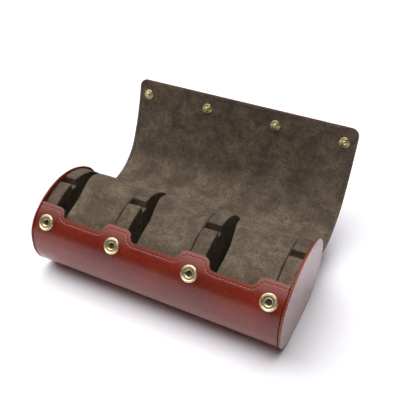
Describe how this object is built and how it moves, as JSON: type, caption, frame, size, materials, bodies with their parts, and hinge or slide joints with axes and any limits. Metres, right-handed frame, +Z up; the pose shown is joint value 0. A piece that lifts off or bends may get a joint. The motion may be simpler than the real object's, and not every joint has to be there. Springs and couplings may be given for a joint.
{
  "type": "watch travel case",
  "caption": "Curved leather travel roll box for wristwatches, with padded cushions between upright dividers and a wrap-over lid that snaps shut.",
  "frame": {"origin": "on the surface that the case stands on, under the middle of its body", "axes": "+X along the case, +Y from its front to its back, +Z up"},
  "size_m": [0.2006, 0.1645, 0.0955],
  "materials": {
    "oxblood_leather": "smooth semi-gloss vegetable-tanned calf, dark oxblood red",
    "taupe_suede": "soft taupe microsuede",
    "board": "grey-brown book board",
    "foam": "open-cell upholstery foam",
    "brass": "polished pale brass",
    "spring_bronze": "drawn phosphor bronze wire"
  },
  "bodies": {
    "case": {"body_leather": "oxblood_leather", "body_board": "board", "body_lining": "taupe_suede", "left_cap_board": "board", "left_cap_band": "oxblood_leather", "left_cap_face": "oxblood_leather", "right_cap_board": "board", "right_cap_band": "oxblood_leather", "right_cap_face": "oxblood_leather", "divider_1_core": "board", "divider_1_cover": "taupe_suede", "divider_2_core": "board", "divider_2_cover": "taupe_suede", "divider_3_core": "board", "divider_3_cover": "taupe_suede", "divider_4_core": "board", "divider_4_cover": "taupe_suede", "snap_sockets": "brass", "socket_springs": "spring_bronze", "socket_eyelets": "brass"},
    "lid_root": {"lid_root_leather": "oxblood_leather", "lid_root_board": "board", "lid_root_lining": "taupe_suede"},
    "lid_crown": {"lid_crown_leather": "oxblood_leather", "lid_crown_board": "board", "lid_crown_lining": "taupe_suede"},
    "lid_front": {"lid_front_leather": "oxblood_leather", "lid_front_board": "board", "lid_front_lining": "taupe_suede", "snap_studs": "brass", "snap_caps": "brass"},
    "left_cushion": {"left_cushion_foam": "foam", "left_cushion_cover": "taupe_suede"},
    "middle_cushion": {"middle_cushion_foam": "foam", "middle_cushion_cover": "taupe_suede"},
    "right_cushion": {"right_cushion_foam": "foam", "right_cushion_cover": "taupe_suede"}
  },
  "joints": [
    {"name": "lid_hinge", "type": "hinge", "parent": "case", "child": "lid_root", "pos_m": [0, 0.04265, 0.0245], "axis": [1, 0, 0], "range_deg": [-26, 111]},
    {"name": "lid_root_flex", "type": "hinge", "parent": "lid_root", "child": "lid_crown", "pos_m": [0, 0.06177, 0.02014], "axis": [1, 0, 0], "range_deg": [-3, 11.5]},
    {"name": "lid_front_press", "type": "hinge", "parent": "lid_crown", "child": "lid_front", "pos_m": [0, 0.11371, 0.0703], "axis": [1, 0, 0], "range_deg": [0, 32.15]},
    {"name": "left_cushion_slide", "type": "slide", "parent": "case", "child": "left_cushion", "axis": [0, -0.8192, -0.5736], "range_m": [-0.085, 0]},
    {"name": "middle_cushion_slide", "type": "slide", "parent": "case", "child": "middle_cushion", "axis": [0, -0.8192, -0.5736], "range_m": [-0.085, 0]},
    {"name": "right_cushion_slide", "type": "slide", "parent": "case", "child": "right_cushion", "axis": [0, -0.8192, -0.5736], "range_m": [-0.085, 0]}
  ],
  "couplings": [
    {"joint": "lid_root_flex", "follows": "lid_hinge", "ratio": 0.096847}
  ]
}
